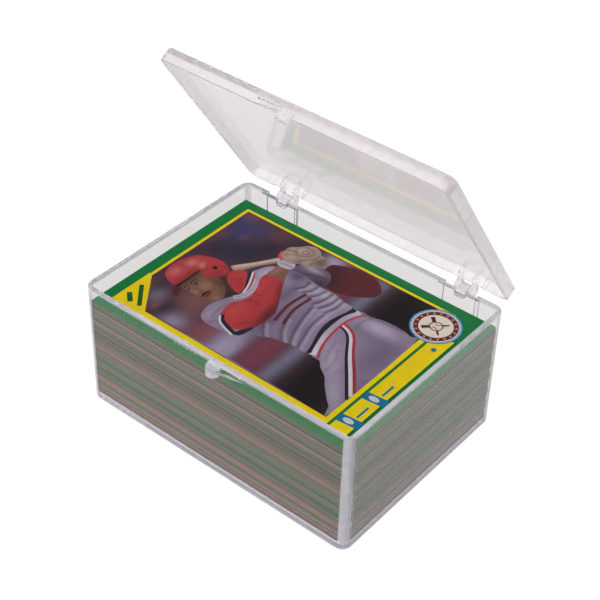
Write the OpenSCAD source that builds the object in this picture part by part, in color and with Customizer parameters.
// Hinged clear box for a deck of trading cards: two plastic mouldings and the deck.
// X runs along the hinge line, Y from the front to the hinge, Z up.
// The origin is the middle of the base's underside. The lid is drawn part open.

/* [Cards] */
// Length of a card
card_l = 88.9; // [60:0.1:120]
// Width of a card
card_w = 63.5; // [45:0.1:90]
// Thickness of one card
card_t = 0.3; // [0.25:0.01:0.6]
// Air left between two cards by their slight bow
card_air = 0.036; // [0.02:0.001:0.1]
// Cards in one packet of the deck
packet_cards = 3; // [2:1:4]
// Packets under the top card
packet_count = 33; // [8:1:50]
// How far a card may stray along its length
stray_l = 0.2; // [0:0.01:0.3]
// How far a card may stray along its width
stray_w = 0.1; // [0:0.01:0.15]
// Sideways shift of the top card on the deck
top_card_shift = 0.25; // [0:0.01:0.3]

/* [Room around the deck] */
// Room at each end of the cards
end_room = 0.35; // [0.35:0.01:2]
// Room between the cards and the front wall
front_room = 0.3; // [0.2:0.01:2]
// Room between the cards and the hinge recesses
back_room = 0.2; // [0.2:0.01:2]
// Room between the top card and the rim of the base
rim_room = 5.1; // [4.6:0.1:20]

/* [Mouldings] */
// Wall thickness of the base and of the lid's skirt
wall_t = 1.5; // [1:0.05:2.4]
// Thickness of the base's floor
floor_t = 1.5; // [1:0.05:3]
// Thickness of the lid's panel
panel_t = 1.4; // [1:0.05:2.4]
// Height of the closed lid, from its rim to its top
lid_h = 4.1; // [3.6:0.1:12]
// Radius of the outside corners
corner_r = 3.2; // [2:0.1:6]
// Radius of the inside corners
inner_r = 0.5; // [0.3:0.05:0.5]
// Gap between the two rims when the lid is shut
seam_gap = 0.12; // [0.05:0.01:0.3]

/* [Hinges] */
// Angle that the lid stands open
open_angle = 56; // [20:1:100]
// Distance of each hinge from the middle of the box
hinge_x = 32; // [16:0.5:34]
// Width of the recess that each hinge stands in
recess_w = 10.6; // [9:0.1:13]
// Depth of that recess
recess_d = 0.8; // [0.4:0.05:1]
// Hinge pin's distance behind the back wall
pin_back = 1.8; // [1.6:0.05:3]
// Hinge pin's distance below the rim of the base
pin_drop = 1.1; // [0.9:0.05:3]
// Radius of the hinge pins
pin_r = 0.7; // [0.5:0.05:0.9]
// Running clearance around a pin
pin_play = 0.05; // [0.02:0.01:0.08]
// Outside radius of the knuckles and of the lugs' ends
knuckle_r = 1.35; // [1.2:0.05:1.6]
// Width of the base's knuckle
knuckle_w = 3.2; // [2.4:0.1:4]
// Width of each lug of the lid
lug_w = 1.5; // [1:0.1:1.8]
// Side play between a lug and the knuckle
lug_play = 0.15; // [0.1:0.01:0.3]
// How far a pin reaches into the knuckle
pin_reach = 1.1; // [0.6:0.1:1.4]

/* [Thumb catch] */
// Radius of the knob at the end of each thumb ledge
knob_r = 2; // [1.5:0.1:3]
// Height of that knob
knob_h = 3.1; // [2:0.1:3.5]
// How far the knob's middle stands off the front wall
knob_out = 0.9; // [0.3:0.1:2]
// Gap between the two knobs when the lid is shut
knob_gap = 0.2; // [0.1:0.1:2]
// How far the lid's knob hangs below its rim
knob_hang = 2.1; // [0.5:0.1:2.5]
// Clearance between that knob and the front wall of the base
knob_play = 0.15; // [0.1:0.05:0.4]
// Length of a ledge, from the middle of the front to its tip
ledge_l = 13.5; // [10:0.5:20]
// Thickness of a ledge
ledge_t = 1.1; // [0.8:0.1:2]

/* [Hidden] */
$fn = 48;
clear = [0.82, 0.82, 0.85, 0.45];
card_edge = [0.56, 0.55, 0.48];
card_green = [0.0, 0.43, 0.22];
weld = 0.3;
over = 1;
knob_turn = 60;
lug_turn = 37;
golden_turn = 137.5;
packet_turn = 71;
packet_share = 0.5;

card_pitch = card_t + card_air;
packet_h = packet_cards * card_pitch;
deck_h = packet_count * packet_h + card_pitch;
box_w = card_l + 2 * (end_room + wall_t);
box_d = card_w + front_room + back_room + recess_d + 2 * wall_t;
base_h = floor_t + deck_h + rim_room;
front_y = -box_d / 2;
back_y = box_d / 2;
deck_y = front_y + wall_t + front_room + card_w / 2;
pin_y = back_y + pin_back;
pin_z = base_h - pin_drop;
lid_z = base_h + seam_gap;
lid_top = base_h + lid_h;
lug_x = knuckle_w / 2 + lug_play;
web_h = 2 * knuckle_r - pin_drop / 2;
knob_x = knob_r + knob_gap / 2;
recess_floor_y = back_y - recess_d;

function packet_name(i) = str("card_packet_", i < 10 ? "0" : "", i);

// A plate with four round corners, from z to z + h, in from the outline by inset
module slab(z, h, inset, r) {
    x = box_w / 2 - inset - r;
    y = box_d / 2 - inset - r;
    translate([0, 0, z]) linear_extrude(h) {
        square([2 * (x + r), 2 * y], center = true);
        square([2 * x, 2 * (y + r)], center = true);
        for (sx = [-1, 1], sy = [-1, 1]) translate([sx * x, sy * y]) circle(r);
    }
}

// Places its children at both hinges
module at_hinges() {
    for (side = [-1, 1]) translate([side * hinge_x, 0, 0]) children();
}

// The hinge recesses' solid: as deep as inset says, in from the back face
module recess_bars(z, h, w, inset) {
    at_hinges() translate([-w / 2, back_y - inset, z]) cube([w, recess_d + inset, h]);
}

// Turns a shape drawn at the back view's side into a bar along X, w wide and centred
module across(w) {
    rotate([90, 0, 90]) linear_extrude(w, center = true) children();
}

// A tray open at one side: outer shell with both recesses stepped into its back wall
module tray(z, h, cavity_z, cavity_h) {
    difference() {
        slab(z, h, 0, corner_r);
        difference() {
            slab(cavity_z, cavity_h, wall_t, inner_r);
            recess_bars(cavity_z, cavity_h, recess_w + 2 * wall_t, wall_t + recess_d);
        }
        recess_bars(z - over, h + 2 * over, recess_w, recess_d);
    }
}

// One half of the thumb catch, towards side: a knob that runs out in a thin ledge
module thumb_catch(side, knob_z, ledge_z) {
    knob_y = front_y - knob_out;
    translate([side * knob_x, 0, knob_z]) linear_extrude(knob_h) {
        translate([0, knob_y]) circle(knob_r);
        translate([-knob_r, knob_y]) square([2 * knob_r, knob_out + weld]);
    }
    translate([0, 0, ledge_z]) linear_extrude(ledge_t) polygon([
        [side * knob_x, front_y + weld],
        [side * knob_x, knob_y - knob_r],
        [side * (knob_x + knob_r * cos(knob_turn)), knob_y - knob_r * sin(knob_turn)],
        [side * ledge_l, front_y],
        [side * ledge_l, front_y + weld]
    ]);
}

// The lid's half of the catch: below the rim its knob stands clear of the base's wall
module hanging_catch() {
    difference() {
        thumb_catch(-1, lid_z - knob_hang, lid_z);
        translate([-2 * knob_x, front_y - knob_play, lid_z - knob_hang - over])
            cube([2 * knob_x, knob_play + wall_t, knob_hang + over]);
    }
}

// The base's knuckle, bored for the pins, on a web out of the recess
module knuckle() {
    difference() {
        across(knuckle_w) {
            translate([pin_y, pin_z]) circle(knuckle_r);
            translate([recess_floor_y - weld, pin_z - knuckle_r])
                square([pin_y - recess_floor_y + weld, web_h]);
        }
        translate([0, pin_y, pin_z]) rotate([0, 90, 0])
            cylinder(r = pin_r + pin_play, h = knuckle_w + over, center = true);
    }
}

// One lug of the lid with its stub pin, on the side of the knuckle that side names
module lug(side) {
    translate([side * (lug_x + lug_w / 2), 0, 0]) across(lug_w) {
        translate([pin_y, pin_z]) circle(knuckle_r);
        polygon([
            [recess_floor_y - weld, lid_z + knuckle_r],
            [recess_floor_y - weld, lid_top - panel_t],
            [recess_floor_y + weld, lid_top - panel_t],
            [pin_y + knuckle_r * cos(lug_turn), pin_z + knuckle_r * sin(lug_turn)],
            [pin_y - knuckle_r * cos(lug_turn), pin_z + knuckle_r * sin(lug_turn)]
        ]);
    }
    translate([side * (lug_x + weld), pin_y, pin_z]) rotate([0, -90 * side, 0])
        cylinder(r = pin_r, h = pin_reach + lug_play + weld);
}

// Turns a shape drawn on the shut lid to the angle that the lid stands open
module opened() {
    translate([0, pin_y, pin_z]) rotate([-open_angle, 0, 0]) translate([0, -pin_y, -pin_z]) children();
}

module base_box() {
    color(clear) {
        tray(0, base_h, floor_t, base_h);
        at_hinges() knuckle();
        thumb_catch(1, base_h - knob_h, base_h - ledge_t);
    }
}

module lid() {
    color(clear) opened() {
        tray(lid_z, lid_h - seam_gap, lid_z - over, lid_h - seam_gap - panel_t + over);
        at_hinges() for (side = [-1, 1]) lug(side);
        hanging_catch();
    }
}

// One card at a height, strayed from the middle of the deck
module card(z, dx, dy) {
    translate([dx - card_l / 2, deck_y + dy - card_w / 2, z]) cube([card_l, card_w, card_t]);
}

module top_card() {
    color(card_green) card(floor_t + deck_h - card_t, -top_card_shift, 0);
}

// Packet i from the bottom: each card strays with its packet and a little by itself
module card_packet(i) {
    color(card_edge) for (k = [0:packet_cards - 1]) {
        n = (i - 1) * packet_cards + k;
        own = 1 - packet_share;
        card(
            floor_t + card_air + n * card_pitch,
            stray_l * (packet_share * sin(i * packet_turn) + own * sin(n * golden_turn)),
            stray_w * (packet_share * cos(i * packet_turn) + own * cos(n * golden_turn))
        );
    }
}

base_box();
lid();
top_card();
for (i = [1:packet_count]) card_packet(i);
